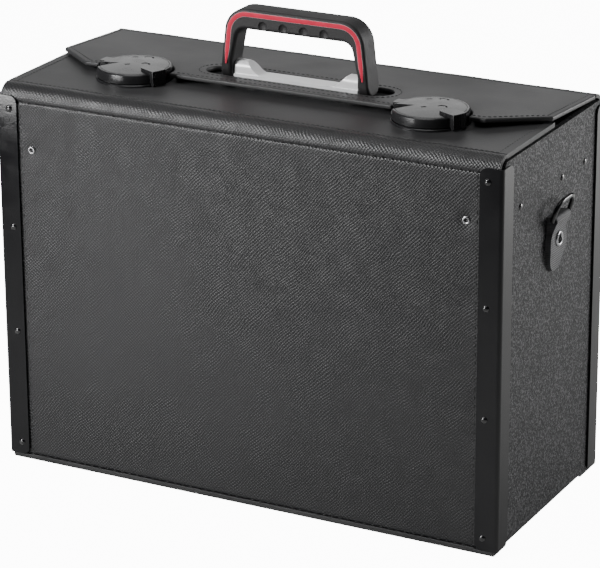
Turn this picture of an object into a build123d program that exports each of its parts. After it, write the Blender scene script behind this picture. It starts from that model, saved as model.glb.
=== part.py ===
from build123d import *
import os

# A tool case of boards in corner profiles, with a leather-hinged lid that closes over a
# front flap carrying a swinging carry handle and two turning latches.
# Millimetres, +Z up, front towards -Y. The origin is on the floor under the middle of the case.

# Case body
case_width = 460.0
case_depth = 207.0
profile_height = 321.0
profile_leg = 20.0
profile_thickness = 2.0
profile_outer_radius = 3.5
profile_end_radius = 6.5
strip_thickness = 5.0
strip_reach = 28.0
strip_lip_height = 0.8
strip_proud = 1.5
strip_edge_radius = 3.5
strip_end_inset = 4.0
board_thickness = 5.0
side_top_above_profile = 3.5
side_corner_radius = 6.0
lining_thickness = 1.2
lining_gap = 0.3
lining_top_gap = 3.5

# Rivets and rails
rivet_head_radius = 2.9
rivet_head_height = 1.5
rivet_shank_radius = 1.6
rivet_from_corner = 13.0
rivet_heights = (10.8, 113.0, 206.5, 309.8)
side_rivet_places = (-65.5, 16.5, 62.5)
side_rivet_height = 285.5
rail_width = 20.0
rail_thickness = 1.8
rail_end_gap = 6.0
eyelet_flange_radius = 3.4
eyelet_hole_radius = 1.7
eyelet_wall = 0.5
eyelet_flange_thickness = 0.6
eyelet_from_side = 32.0
eyelet_height = 280.6

# Front flap and its leather roll
roll_radius = 13.5
roll_thickness = 3.0
flap_end_inset = 4.0
flap_thickness = 4.0
flap_past_middle = 21.0
flap_chamfer = 17.0
flap_over_side = 1.0

# Lid and its leather roll
lid_thickness = 4.0
lid_past_middle = 35.8
lid_end_inset = 4.0
lid_chamfer_width = 42.5
lid_chamfer_depth = 36.0
lid_slope = 3.7
lid_over_side = 1.0
rear_roll_radius = 13.0
slot_length = 170.0
slot_width = 30.0
notch_clearance = 1.6
ear_clearance = 1.6

# Handle
pivot_height = 11.0
pivot_pin_radius = 3.0
pivot_pin_in_leg = 6.5
pivot_pin_in_ear = 8.0
handle_depth = 21.5
handle_foot_width = 136.0
handle_top_width = 124.0
handle_rise = 52.5
handle_corner_radius = 21.0
handle_bar_height = 17.5
handle_leg_width = 10.5
handle_inner_radius = 9.0
handle_edge_radius = 2.4
handle_grip_radius = 3.6
dimple_radius = 4.1
dimple_depth = 1.6
dimple_spacing = 18.8
dimple_count = 4
dimple_above_bar = 4.6
stripe_inset = 2.5
stripe_width = 3.6
stripe_depth = 1.0
stripe_above_pivot = 4.0
handle_screw_radius = 1.5
handle_screw_head_radius = 2.8
handle_screw_head_depth = 2.0
handle_screw_length = 15.0
handle_screw_spacing = 88.0
handle_screw_drop = 1.0

# Handle base
ear_radius = 6.5
ear_gap = 0.3
ear_width = 10.5
ear_ramp = 11.0
ear_sweep_radius = 12.0
ear_lobe_radius = 5.0
base_bar_height = 6.5
base_bar_depth = 16.0
base_plate_depth = 24.0
base_plate_thickness = 2.4
base_corner_radius = 5.0
base_screw_radius = 2.0
base_screw_head_radius = 3.4
base_screw_head_height = 1.4
base_screw_depth = 5.0
base_screw_across = 88.0
base_screw_count = 4
backing_thickness = 1.6

# Latches
latch_across = 272.0
latch_from_middle = 35.2
latch_flange_radius = 32.4
latch_flange_thickness = 2.0
latch_flange_chamfer = 0.5
knob_radius = 31.4
knob_height = 8.0
knob_gap = 0.8
knob_chamfer = 0.9
knob_dome = 1.3
knob_rim = 0.4
knob_groove_inset = 0.9
knob_groove_width = 0.6
knob_groove_depth = 0.7
knob_wall = 2.5
knob_shaft_radius = 5.0
knob_hub_radius = 9.0
thumb_reach = 35.6
thumb_tip = 14.0
thumb_width = 13.5
thumb_tip_radius = 6.5
thumb_height = 2.6
thumb_angle = -24.0
thumb_rib_radius = 0.7
thumb_rib_count = 9
thumb_rib_step = 2.9
ear_lug_inner = 24.0
ear_lug_outer = 33.0
ear_lug_front = -1.0
ear_lug_back = 9.0
ear_lug_rise = 0.4
ear_over_lid = 0.6
ear_web_overlap = 2.0
ear_web_reach = 8.0
finger_notch_depth = 4.2
finger_notch_tip = (-13.0, -3.0)
finger_notch_angles = (187.0, 216.0)
mark_depth = 0.8
mark_rings = ((1.0, 21.5, 4.6), (9.0, 2.0, 4.2))
mark_ring_width = 1.5
mark_slots = ((-10.0, 18.5, 1.8), (-4.0, -5.0, 2.2))
mark_slot_length = 4.5
mark_slot_angle = 30.0
clip_thickness = 1.0
clip_radius = 8.0
clip_groove = 1.0
shaft_clearance = 1.0
backplate_radius = 18.0
washer_thickness = 0.6
washer_radius = 9.0
latch_screw_radius = 1.5
latch_screw_head_radius = 2.6
latch_screw_circle = 20.0
latch_screw_count = 3

# Strap brackets
tab_thickness = 5.4
tab_tip_thickness = 2.4
tab_fold_width = 27.0
tab_neck_width = 25.0
tab_leaf_width = 32.0
tab_leaf_below_bar = 20.0
tab_leaf_length = 26.0
tab_leaf_shoulder = 15.0
tab_top_slope = 1.0
tab_wall = 1.75
ring_bar_height = 258.0
ring_bar_out = 6.0
ring_wire_radius = 1.9
ring_width = 34.0
ring_rise = 18.0
ring_bow_radius = 11.0
ring_foot_radius = 4.0
ring_tilt = 18.0
tab_eyelet_below_bar = 18.0
tab_eyelet_radius = 6.5
tab_eyelet_hole = 4.0
tab_eyelet_wall = 0.9
tab_eyelet_seat = 0.5

# Clearances
running_gap = 0.05
hole_gap = 0.1
soft_gap = 0.3
past = 1.0

# Levels and places worked out from the sizes above
half_width = case_width / 2
eyelet_x = half_width - eyelet_from_side
flap_half_width = half_width - flap_end_inset
lid_half_width = half_width - lid_end_inset
half_depth = case_depth / 2
face_x = half_width - profile_thickness
face_y = half_depth - profile_thickness
inner_x = face_x - board_thickness
inner_y = face_y - board_thickness
floor_level = strip_thickness
profile_top = floor_level + profile_height
side_top = profile_top + side_top_above_profile
flap_bottom = side_top + flap_over_side
flap_top = flap_bottom + flap_thickness
board_top = flap_top - roll_radius
lid_rear_y = face_y - rear_roll_radius
lid_rear_top = side_top + lid_over_side + lid_thickness
rear_board_top = lid_rear_top - rear_roll_radius
flap_front_y = -face_y + roll_radius
flap_rear_y = flap_past_middle
latch_x = latch_across / 2
latch_y = -latch_from_middle
pivot_z = flap_top + pivot_height
handle_top = pivot_z + handle_rise
leg_inner_x = handle_foot_width / 2 - handle_leg_width
ear_face_x = leg_inner_x - ear_gap
knob_bottom = flap_top + latch_flange_thickness + knob_gap
knob_top = knob_bottom + knob_height
latch_y_to_lid_rear = lid_rear_y - latch_y
ring_bar_x = face_x + ring_bar_out
tab_leaf_z = ring_bar_height - tab_leaf_below_bar
tab_tip_z = tab_leaf_z - tab_leaf_length
tab_eyelet_z = ring_bar_height - tab_eyelet_below_bar


def block(x0, x1, y0, y1, z0, z1):
    """A box between two opposite corners."""
    return Pos((x0 + x1) / 2, (y0 + y1) / 2, (z0 + z1) / 2) * Box(abs(x1 - x0), abs(y1 - y0), abs(z1 - z0))


def rod_x(x0, x1, y, z, radius):
    return Pos((x0 + x1) / 2, y, z) * Rot(0, 90, 0) * Cylinder(radius, abs(x1 - x0))


def rod_y(x, y0, y1, z, radius):
    return Pos(x, (y0 + y1) / 2, z) * Rot(90, 0, 0) * Cylinder(radius, abs(y1 - y0))


def rod_z(x, y, z0, z1, radius):
    return Pos(x, y, (z0 + z1) / 2) * Cylinder(radius, abs(z1 - z0))


def outline(*points):
    """A flat face through the given corners."""
    return make_face(Polyline(*points, close=True))


def corner(face, x, y):
    """The corner of a flat face that lies nearest to a place."""
    return face.vertices().sort_by_distance((x, y, 0))[0]


def mirrored(shape):
    return mirror(shape, Plane.YZ)


def dome(radius, height):
    """A rivet head on the XY plane, bulging to +Z."""
    ball = (radius ** 2 + height ** 2) / (2 * height)
    cap = Pos(0, 0, height - ball) * Sphere(ball)
    return cap & block(-radius, radius, -radius, radius, 0, height)


def rivet(length):
    """A rivet along Z: the head above the XY plane, the shank below it."""
    return dome(rivet_head_radius, rivet_head_height) + rod_z(0, 0, -length, 0, rivet_shank_radius)


def profile_rivet_places():
    """Where the rivets sit on the front and rear flanges, as x, z."""
    across = half_width - rivet_from_corner
    return [(side * across, floor_level + up) for side in (-1, 1) for up in rivet_heights]


def corner_profile():
    """The right front corner profile: an angle with a rounded corner and rounded inner ends."""
    bottom, top = floor_level, profile_top
    outer = block(half_width - profile_leg, half_width, -half_depth, -half_depth + profile_leg, bottom, top)
    edge = outer.edges().filter_by(Axis.Z).sort_by_distance((half_width, -half_depth, 0))[0]
    outer = fillet(edge, profile_outer_radius)
    inside = block(0, face_x, -face_y, half_depth, bottom - past, top + past)
    angle = outer - inside
    ends = angle.edges().filter_by(Axis.Y).filter_by(lambda e: e.center().X < half_width - profile_leg / 2)
    sides = angle.edges().filter_by(Axis.X).filter_by(lambda e: e.center().Y > -half_depth + profile_leg / 2)
    return fillet(ends + sides, profile_end_radius)


def drilled_profile():
    profile = corner_profile()
    for x, z in profile_rivet_places():
        profile -= rod_y(x, -half_depth - past, -half_depth + profile_leg, z, rivet_shank_radius)
    return profile


def front_rivets():
    length = profile_thickness + board_thickness
    turned = Rot(90, 0, 0) * rivet(length)
    return [Pos(x, -half_depth, z) * turned for x, z in profile_rivet_places()]


def end_board(top):
    """The front board, which the rear board mirrors."""
    board = block(-face_x, face_x, -face_y, -inner_y, floor_level, top)
    for x, z in profile_rivet_places():
        board -= rod_y(x, -half_depth, -inner_y + past, z, rivet_shank_radius)
    return board


def eyelet(flange, hole, wall, thickness, grip):
    """A hollow rivet along Z: a flange above the XY plane, a tube and a rolled flange below."""
    tube = rod_z(0, 0, -grip - thickness, thickness, hole + wall)
    tube += rod_z(0, 0, 0, thickness, flange)
    tube += rod_z(0, 0, -grip - thickness, -grip, flange)
    return tube - rod_z(0, 0, -grip - 2 * thickness, 2 * thickness, hole)


def front_eyelet():
    thickness = eyelet_flange_thickness
    ring = eyelet(eyelet_flange_radius, eyelet_hole_radius, eyelet_wall, thickness, board_thickness)
    return Pos(eyelet_x, -face_y, eyelet_height) * Rot(90, 0, 0) * ring


def front_panel():
    board = end_board(board_top)
    for side in (-1, 1):
        x = side * eyelet_x
        board -= rod_y(x, -half_depth, -inner_y + past, eyelet_height, eyelet_hole_radius + eyelet_wall)
    return board


def side_panel():
    """The right side board, with rounded top corners under the leather rolls."""
    board = block(inner_x, face_x, -inner_y, inner_y, floor_level, side_top)
    ends = board.edges().filter_by(Axis.X).group_by(Axis.Z)[-1]
    board = fillet(ends, side_corner_radius)
    for y in side_rivet_places:
        board -= rod_x(inner_x - past, face_x + past, y, side_rivet_height, rivet_shank_radius)
    tube = tab_eyelet_hole + tab_eyelet_wall
    return board - rod_x(inner_x - past, face_x + past, 0, tab_eyelet_z, tube)


def side_rail():
    """The stiffening rail inside the right side board."""
    reach = inner_y - rail_end_gap
    low, high = side_rivet_height - rail_width / 2, side_rivet_height + rail_width / 2
    rail = block(inner_x - rail_thickness, inner_x, -reach, reach, low, high)
    for y in side_rivet_places:
        start, end = inner_x - rail_thickness - past, inner_x + past
        rail -= rod_x(start, end, y, side_rivet_height, rivet_shank_radius)
    return rail


def side_rivets():
    turned = Rot(0, 90, 0) * rivet(board_thickness + rail_thickness)
    return [Pos(face_x, y, side_rivet_height) * turned for y in side_rivet_places]


def base_board():
    return block(-inner_x, inner_x, -inner_y, inner_y, floor_level, floor_level + board_thickness)


def edge_strip():
    """The leather edging under the front edge, with a low lip up the front between the profiles."""
    reach = half_width - strip_end_inset
    front = -face_y - strip_proud
    slab = block(-reach, reach, front, front + strip_reach, 0, floor_level)
    slab = fillet(slab.edges().filter_by(Axis.X).group_by(Axis.Z)[0], strip_edge_radius)
    lip_reach = half_width - profile_leg - soft_gap
    lip = block(-lip_reach, lip_reach, front, -face_y, floor_level, floor_level + strip_lip_height)
    return slab + lip


def inner_lining():
    """A thin tray of lining cloth that stands inside the boards and the rails."""
    x = inner_x - rail_thickness - lining_gap
    y = inner_y - eyelet_flange_thickness - lining_gap
    low = floor_level + board_thickness
    high = board_top - lining_top_gap
    wall = lining_thickness
    outside = block(-x, x, -y, y, low, high)
    return outside - block(-x + wall, x - wall, -y + wall, y - wall, low + wall, high + past)


def roll_section(radius, top):
    """A quarter ring in the YZ plane from an upright board face up to a level top."""
    ring = Circle(radius) - Circle(radius - roll_thickness)
    quarter = ring & (Pos(-radius / 2, radius / 2) * Rectangle(radius, radius))
    return Plane.YZ * Pos(-face_y + radius, top - radius) * quarter


def front_roll():
    return extrude(roll_section(roll_radius, flap_top), amount=flap_half_width, both=True)


def rear_roll():
    quarter = extrude(roll_section(rear_roll_radius, lid_rear_top), amount=lid_half_width, both=True)
    return mirror(quarter, Plane.XZ)


def flap_board():
    """The front flap: a board with its rear corners cut off, drilled for the handle base and the latches."""
    half = flap_half_width
    face = outline(
        (-half, flap_front_y),
        (half, flap_front_y),
        (half, flap_rear_y - flap_chamfer),
        (half - flap_chamfer, flap_rear_y),
        (-half + flap_chamfer, flap_rear_y),
        (-half, flap_rear_y - flap_chamfer),
    )
    board = Pos(0, 0, flap_bottom) * extrude(face, amount=flap_thickness)
    for x in base_screw_places():
        board -= rod_z(x, 0, flap_bottom - past, flap_top + past, base_screw_radius)
    shaft_hole = knob_shaft_radius + shaft_clearance
    for side in (-1, 1):
        board -= rod_z(side * latch_x, latch_y, flap_bottom - past, flap_top + past, shaft_hole)
        for x, y in latch_screw_places(side * latch_x):
            board -= rod_z(x, y, flap_bottom - past, flap_top + past, latch_screw_radius)
    return board


def lid_board():
    """The lid: cut-off front corners, the handle slot, and notches round the latches."""
    front = -lid_past_middle
    half, half_front = lid_half_width, lid_half_width - lid_chamfer_width
    face = outline(
        (-half_front, front),
        (half_front, front),
        (half, front + lid_chamfer_depth),
        (half, lid_rear_y - soft_gap),
        (-half, lid_rear_y - soft_gap),
        (-half, front + lid_chamfer_depth),
    )
    face -= SlotOverall(slot_length, slot_width)
    for side in (-1, 1):
        x = side * latch_x
        face -= Pos(x, latch_y) * Circle(knob_radius + notch_clearance)
        lug_left = x - ear_lug_outer - ear_clearance
        lug_back = latch_y + ear_lug_back + ear_clearance
        before = front - past
        face -= outline((lug_left, before), (x, before), (x, lug_back), (lug_left, lug_back))
    flat = extrude(face, amount=-lid_thickness)
    level = Pos(0, -lid_rear_y, 0) * flat
    return Pos(0, lid_rear_y, lid_rear_top) * Rot(-lid_slope, 0, 0) * level


def handle_outline(inset):
    """The outer outline of the handle in XZ, drawn in by an inset, down to a level below the pivot."""
    foot, top = handle_foot_width / 2 - inset, handle_top_width / 2 - inset
    low, high = pivot_z - handle_depth, handle_top - inset
    lean = (foot - top) / handle_rise * handle_depth
    face = outline((-foot - lean, low), (foot + lean, low), (top, high), (-top, high))
    radius = handle_corner_radius - inset
    return fillet([corner(face, top, high), corner(face, -top, high)], radius)


def handle_hole():
    """The finger gap in XZ, open downwards and upright beside the ears of the base."""
    foot = leg_inner_x
    upright = pivot_z + ear_radius + ear_gap
    high = handle_top - handle_bar_height
    top = handle_top_width / 2 - handle_leg_width
    low = pivot_z - 2 * handle_depth
    face = outline((-foot, low), (foot, low), (foot, upright), (top, high), (-top, high), (-foot, upright))
    return fillet([corner(face, top, high), corner(face, -top, high)], handle_inner_radius)


def handle_body():
    """The whole handle: a bow with round feet about its pivot."""
    half = handle_depth / 2
    bow = extrude(Plane.XZ * (handle_outline(0) - handle_hole()), amount=half, both=True)
    high = handle_top + past
    foot = Plane.YZ * (Pos(0, pivot_z) * Circle(half))
    shank = Plane.YZ * outline((-half, pivot_z), (half, pivot_z), (half, high), (-half, high))
    side_view = extrude(foot, amount=half_width, both=True) + extrude(shank, amount=half_width, both=True)
    body = bow & side_view
    bore = pivot_pin_radius + running_gap
    for side in (-1, 1):
        pin_end = leg_inner_x + pivot_pin_in_leg + running_gap
        body -= rod_x(side * (leg_inner_x - past), side * pin_end, 0, pivot_z, bore)
    return body


def stripe_band(depth):
    """The inlay's path on the front face, from leg to leg, as a solid reaching in from the face."""
    band = handle_outline(stripe_inset) - handle_outline(stripe_inset + stripe_width)
    band &= Pos(0, handle_top) * Rectangle(case_width, 2 * (handle_top - pivot_z - stripe_above_pivot))
    return Pos(0, -handle_depth / 2 + depth, 0) * extrude(Plane.XZ * band, amount=depth)


def dimple_places():
    first = -dimple_spacing * (dimple_count - 1) / 2
    return [first + dimple_spacing * i for i in range(dimple_count)]


def dimple_cutter():
    """Shallow round dimples along the lower front of the grip."""
    ball = (dimple_radius ** 2 + dimple_depth ** 2) / (2 * dimple_depth)
    y = -handle_depth / 2 - ball + dimple_depth
    z = handle_top - handle_bar_height + dimple_above_bar
    return [Pos(x, y, z) * Sphere(ball) for x in dimple_places()]


def handle_screw_places():
    z = handle_top - handle_bar_height / 2 - handle_screw_drop
    return [(-handle_screw_spacing / 2, z), (handle_screw_spacing / 2, z)]


def handle_screws():
    """Two screws from the rear that hold the two shells together."""
    rear = handle_depth / 2
    screws = []
    for x, z in handle_screw_places():
        seat = rear - handle_screw_head_depth
        head = rod_y(x, seat, rear - handle_screw_head_depth / 2, z, handle_screw_head_radius)
        screws.append(head + rod_y(x, rear - handle_screw_length, seat, z, handle_screw_radius))
    return screws


def handle_screw_cutter():
    rear = handle_depth / 2
    cuts = []
    for x, z in handle_screw_places():
        cut = rod_y(x, rear - handle_screw_head_depth, rear + past, z, handle_screw_head_radius)
        cuts.append(cut + rod_y(x, rear - handle_screw_length, rear, z, handle_screw_radius))
    return cuts


def beside_gap(edge):
    """Whether an edge of the handle's front face borders the finger gap."""
    place = edge.center()
    return abs(place.X) < leg_inner_x + handle_leg_width / 4 and place.Z < handle_top - handle_bar_height / 2


def on_rim(edge):
    """Whether an edge of the handle's front face lies along its outside, above the round feet."""
    return edge.center().Z > pivot_z + handle_edge_radius and not beside_gap(edge)


def handle_shell():
    """The front half of the handle, rounder towards the fingers, with its groove for the inlay."""
    half = handle_body() & block(-half_width, half_width, -handle_depth, 0, 0, handle_top + past)
    grip = half.faces().sort_by(Axis.Y)[0].edges().filter_by(beside_gap)
    rounded = fillet(grip, handle_grip_radius)
    rim = rounded.faces().sort_by(Axis.Y)[0].edges().filter_by(on_rim)
    return fillet(rim, handle_edge_radius) - stripe_band(stripe_depth)


def handle_front_shell():
    return handle_shell() - dimple_cutter() - handle_screw_cutter()


def handle_rear_shell():
    return mirror(handle_shell(), Plane.XZ) - handle_screw_cutter()


def pivot_pin():
    return rod_x(ear_face_x - pivot_pin_in_ear, leg_inner_x + pivot_pin_in_leg, 0, pivot_z, pivot_pin_radius)


def base_screw_places():
    step = base_screw_across / (base_screw_count - 1)
    return [-base_screw_across / 2 + step * i for i in range(base_screw_count)]


def handle_base():
    """The cast base: a bar that ramps up to an ear at each end, on a thin plate."""
    top = pivot_z + ear_radius
    bar_top = flap_top + base_bar_height
    ear_x = ear_face_x - ear_width
    ramp_x = ear_x - ear_ramp
    front_view = outline(
        (-ear_face_x, flap_top),
        (ear_face_x, flap_top),
        (ear_face_x, top),
        (ear_x, top),
        (ramp_x, bar_top),
        (-ramp_x, bar_top),
        (-ear_x, top),
        (-ear_face_x, top),
    )
    sweeps = [corner(front_view, side * ramp_x, bar_top) for side in (-1, 1)]
    front_view = fillet(sweeps, ear_sweep_radius)
    lobes = [corner(front_view, side * ear_x, top) for side in (-1, 1)]
    front_view = fillet(lobes, ear_lobe_radius)
    half = base_bar_depth / 2
    side_view = Pos(0, (flap_top + bar_top) / 2) * Rectangle(base_bar_depth, base_bar_height)
    side_view += Pos(0, pivot_z) * Circle(ear_radius)
    side_view += Pos(0, (flap_top + pivot_z) / 2) * Rectangle(2 * ear_radius, pivot_height)
    casting = extrude(Plane.XZ * front_view, amount=half, both=True)
    casting &= extrude(Plane.YZ * side_view, amount=half_width, both=True)
    plate_face = RectangleRounded(2 * ear_face_x, base_plate_depth, base_corner_radius)
    casting += Pos(0, 0, flap_top) * extrude(plate_face, amount=base_plate_thickness)
    for x in base_screw_places():
        casting -= rod_z(x, 0, flap_top - past, flap_top + base_screw_depth, base_screw_radius)
    bore = pivot_pin_radius + running_gap
    for side in (-1, 1):
        blind = ear_face_x - pivot_pin_in_ear - running_gap
        casting -= rod_x(side * blind, side * (ear_face_x + past), 0, pivot_z, bore)
    return casting


def base_screws():
    """The screws from below that clamp the backing plate and the flap to the base."""
    low = flap_bottom - backing_thickness
    screws = []
    for x in base_screw_places():
        head = Pos(x, 0, low) * Rot(180, 0, 0) * dome(base_screw_head_radius, base_screw_head_height)
        screws.append(head + rod_z(x, 0, low, flap_top + base_screw_depth, base_screw_radius))
    return screws


def backing_plate():
    """The steel plate under the flap that spreads the handle's load."""
    face = RectangleRounded(2 * ear_face_x, base_plate_depth, base_corner_radius)
    plate = Pos(0, 0, flap_bottom) * extrude(face, amount=-backing_thickness)
    for x in base_screw_places():
        low = flap_bottom - backing_thickness - past
        plate -= rod_z(x, 0, low, flap_bottom + past, base_screw_radius)
    return plate


def latch_screw_places(x):
    places = []
    for i in range(latch_screw_count):
        spot = Vector(latch_screw_circle, 0, 0).rotate(Axis.Z, 90 + 360 / latch_screw_count * i)
        places.append((x + spot.X, latch_y + spot.Y))
    return places


def latch_base(x):
    """The round flange on the flap that the knob turns on."""
    high = flap_top + latch_flange_thickness
    flange = rod_z(x, latch_y, flap_top, high, latch_flange_radius)
    flange = chamfer(flange.edges().group_by(Axis.Z)[-1], latch_flange_chamfer)
    flange -= rod_z(x, latch_y, flap_top - past, high + past, knob_shaft_radius + running_gap)
    for sx, sy in latch_screw_places(x):
        flange -= rod_z(sx, sy, flap_top - past, high + past, latch_screw_radius)
    return flange


def latch_screws(x):
    top = flap_top + latch_flange_thickness
    screws = []
    for sx, sy in latch_screw_places(x):
        head = Pos(sx, sy, top) * dome(latch_screw_head_radius, base_screw_head_height)
        screws.append(head + rod_z(sx, sy, flap_bottom, top, latch_screw_radius))
    return screws


def latch_backplate(x):
    low = flap_bottom - backing_thickness
    plate = rod_z(x, latch_y, low, flap_bottom, backplate_radius)
    return plate - rod_z(x, latch_y, low - past, flap_bottom + past, knob_shaft_radius + running_gap)


def thumb_lobe():
    """The thumb block: a bar with a round inner tip and ribs round its outer end, along +X."""
    low, high = knob_bottom, knob_top + thumb_height
    middle = (thumb_tip + thumb_reach) / 2
    long_side = thumb_reach - thumb_tip
    plan = Pos(middle, 0) * RectangleRounded(long_side, thumb_width, thumb_tip_radius)
    plan += Pos(middle + thumb_width / 4, 0) * Rectangle(long_side - thumb_width / 2, thumb_width)
    plan &= Circle(thumb_reach)
    lobe = Pos(0, 0, low) * extrude(plan, amount=high - low)
    skirt_low = flap_top + knob_gap
    skirt = plan - Circle(latch_flange_radius + knob_gap)
    lobe += Pos(0, 0, skirt_low) * extrude(skirt, amount=low - skirt_low)
    first = -thumb_rib_step * (thumb_rib_count - 1) / 2
    for i in range(thumb_rib_count):
        spot = Vector(thumb_reach, 0, 0).rotate(Axis.Z, first + thumb_rib_step * i)
        lobe -= rod_z(spot.X, spot.Y, skirt_low - past, high + past, thumb_rib_radius)
    return lobe


def ear_lug():
    """The catch lug at the left of the knob. Turned to the rear, it lies over the lid's edge."""
    lid_front_top = lid_rear_top + latch_y_to_lid_rear * sine(lid_slope)
    low = lid_front_top + ear_over_lid
    high = knob_top + ear_lug_rise
    return block(-ear_lug_outer, -ear_lug_inner, ear_lug_front, ear_lug_back, low, high)


def sine(degrees):
    return Vector(1, 0, 0).rotate(Axis.Z, degrees).Y


def finger_notch():
    """The wedge-shaped notch in the knob's top, beside the lug."""
    rim = [Vector(knob_radius + past, 0, 0).rotate(Axis.Z, angle) for angle in finger_notch_angles]
    wedge = outline(finger_notch_tip, *[(point.X, point.Y) for point in rim])
    height = finger_notch_depth + knob_dome + past
    return Pos(0, 0, knob_top - finger_notch_depth) * extrude(wedge, amount=height)


def knob_marks():
    """Plain recesses in the knob's top: two part rings and two short slots."""
    marks = []
    for x, y, radius in mark_rings:
        ring = Circle(radius) - Circle(radius - mark_ring_width)
        marks.append(Pos(x, y) * (ring & Pos(0, radius) * Rectangle(2 * radius, 2 * radius)))
    for x, y, width in mark_slots:
        marks.append(Pos(x, y) * Rot(0, 0, mark_slot_angle) * SlotOverall(mark_slot_length, width))
    height = mark_depth + knob_dome + past
    return [Pos(0, 0, knob_top - mark_depth) * extrude(mark, amount=height) for mark in marks]


def knob_groove(radius):
    """The fine groove that parts the knob's crown from its rim."""
    outer = radius - knob_groove_inset
    ring = Circle(outer) - Circle(outer - knob_groove_width)
    return Pos(0, 0, knob_top - knob_groove_depth) * extrude(ring, amount=knob_groove_depth + knob_dome)


def latch_knob():
    """The turning knob, drawn about its own axis: a domed cap, thumb block, lug and shaft."""
    cap = rod_z(0, 0, knob_bottom, knob_top, knob_radius)
    cap = chamfer(cap.edges().group_by(Axis.Z)[-1], knob_chamfer)
    ball = ((knob_radius - knob_chamfer) ** 2 + knob_dome ** 2) / (2 * knob_dome)
    over = Pos(0, 0, knob_top + knob_dome - ball) * Sphere(ball)
    crown_radius = knob_radius - knob_chamfer - knob_rim
    crown = over & rod_z(0, 0, knob_top - past, knob_top + knob_dome, crown_radius)
    knob = cap + crown
    knob -= [knob_groove(crown_radius), finger_notch()] + knob_marks()
    knob += Rot(0, 0, thumb_angle) * thumb_lobe()
    hollow = rod_z(0, 0, knob_bottom - past, knob_top - knob_wall, knob_radius - knob_wall)
    hollow -= rod_z(0, 0, knob_bottom - past, knob_top, knob_hub_radius)
    knob -= hollow
    knob += ear_lug() + ear_web()
    hub_low = flap_top + latch_flange_thickness + running_gap
    knob += rod_z(0, 0, hub_low, knob_bottom + past, knob_hub_radius)
    knob += rod_z(0, 0, clip_level() - 2 * clip_thickness, knob_bottom + past, knob_shaft_radius)
    return knob - rod_z(0, 0, clip_level() - clip_thickness, clip_level(), knob_shaft_radius) + clip_neck()


def ear_web():
    """The material that joins the lug to the knob's top behind the finger notch."""
    front = ear_lug_front + ear_web_overlap
    left = -ear_lug_inner - ear_web_overlap
    right = -ear_lug_inner + ear_web_reach
    return block(left, right, front, ear_lug_back, knob_top - knob_wall, knob_top)


def clip_level():
    """The top of the retaining clip, under the backplate and the spring washer."""
    return flap_bottom - backing_thickness - washer_thickness - running_gap


def clip_neck():
    """What the clip's groove leaves of the shaft."""
    return rod_z(0, 0, clip_level() - clip_thickness, clip_level(), knob_shaft_radius - clip_groove)


def latch_clip(x):
    high = clip_level()
    ring = rod_z(x, latch_y, high - clip_thickness, high, clip_radius)
    return ring - rod_z(x, latch_y, high - 2 * clip_thickness, high + past, knob_shaft_radius - clip_groove)


def latch_washer(x):
    """The spring washer that keeps the knob snug."""
    low = clip_level() + running_gap / 2
    ring = rod_z(x, latch_y, low, low + washer_thickness, washer_radius)
    return ring - rod_z(x, latch_y, low - past, low + 2 * past, knob_shaft_radius + hole_gap)


def tab_front_view():
    """The tab's outline in YZ: a fold and a neck above a leaf that narrows to its tip."""
    fold, neck, leaf = tab_fold_width / 2, tab_neck_width / 2, tab_leaf_width / 2
    loop_radius = ring_wire_radius + running_gap + tab_wall
    top, shoulder = ring_bar_height + 2 * loop_radius, ring_bar_height - loop_radius
    half_plane = Rectangle(2 * tab_leaf_width, tab_leaf_length + tab_leaf_shoulder)
    below = Pos(0, -(tab_leaf_length + tab_leaf_shoulder) / 2) * half_plane
    leaf_face = Ellipse(leaf, tab_leaf_length) & below
    leaf_face += Ellipse(leaf, tab_leaf_shoulder) - below
    stem = outline(
        (-fold, top),
        (-fold, shoulder),
        (-neck, tab_leaf_z),
        (neck, tab_leaf_z),
        (fold, shoulder),
        (fold, top),
    )
    return Pos(0, tab_leaf_z) * leaf_face + stem


def strap_tab():
    """The right strap tab: a leaf folded round the ring's bar, lying on the side board."""
    bar_z = ring_bar_height
    loop_radius = ring_wire_radius + running_gap + tab_wall
    leaf_x = face_x + tab_thickness
    seat = tab_eyelet_radius + tab_eyelet_seat
    side_view = Pos(ring_bar_x, bar_z) * Circle(loop_radius)
    side_view += outline(
        (face_x, tab_tip_z),
        (face_x + tab_tip_thickness, tab_tip_z),
        (leaf_x, tab_eyelet_z - seat),
        (leaf_x, tab_eyelet_z + seat),
        (ring_bar_x + loop_radius, bar_z),
        (ring_bar_x, bar_z + loop_radius),
        (face_x, bar_z + loop_radius - tab_top_slope),
    )
    side_view -= Pos(ring_bar_x, bar_z) * Circle(ring_wire_radius + running_gap)
    solid = extrude(Plane.XZ * side_view, amount=tab_leaf_width, both=True)
    reach = ring_bar_out + 2 * loop_radius
    solid &= Pos(face_x - past, 0, 0) * extrude(Plane.YZ * tab_front_view(), amount=reach)
    tube = tab_eyelet_hole + tab_eyelet_wall
    return solid - rod_x(face_x - past, leaf_x + tab_thickness, 0, tab_eyelet_z, tube)


def tab_eyelet():
    grip = tab_thickness + board_thickness
    ring = eyelet(tab_eyelet_radius, tab_eyelet_hole, tab_eyelet_wall, tab_eyelet_wall, grip)
    return Pos(face_x + tab_thickness, 0, tab_eyelet_z) * Rot(0, 90, 0) * ring


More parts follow.
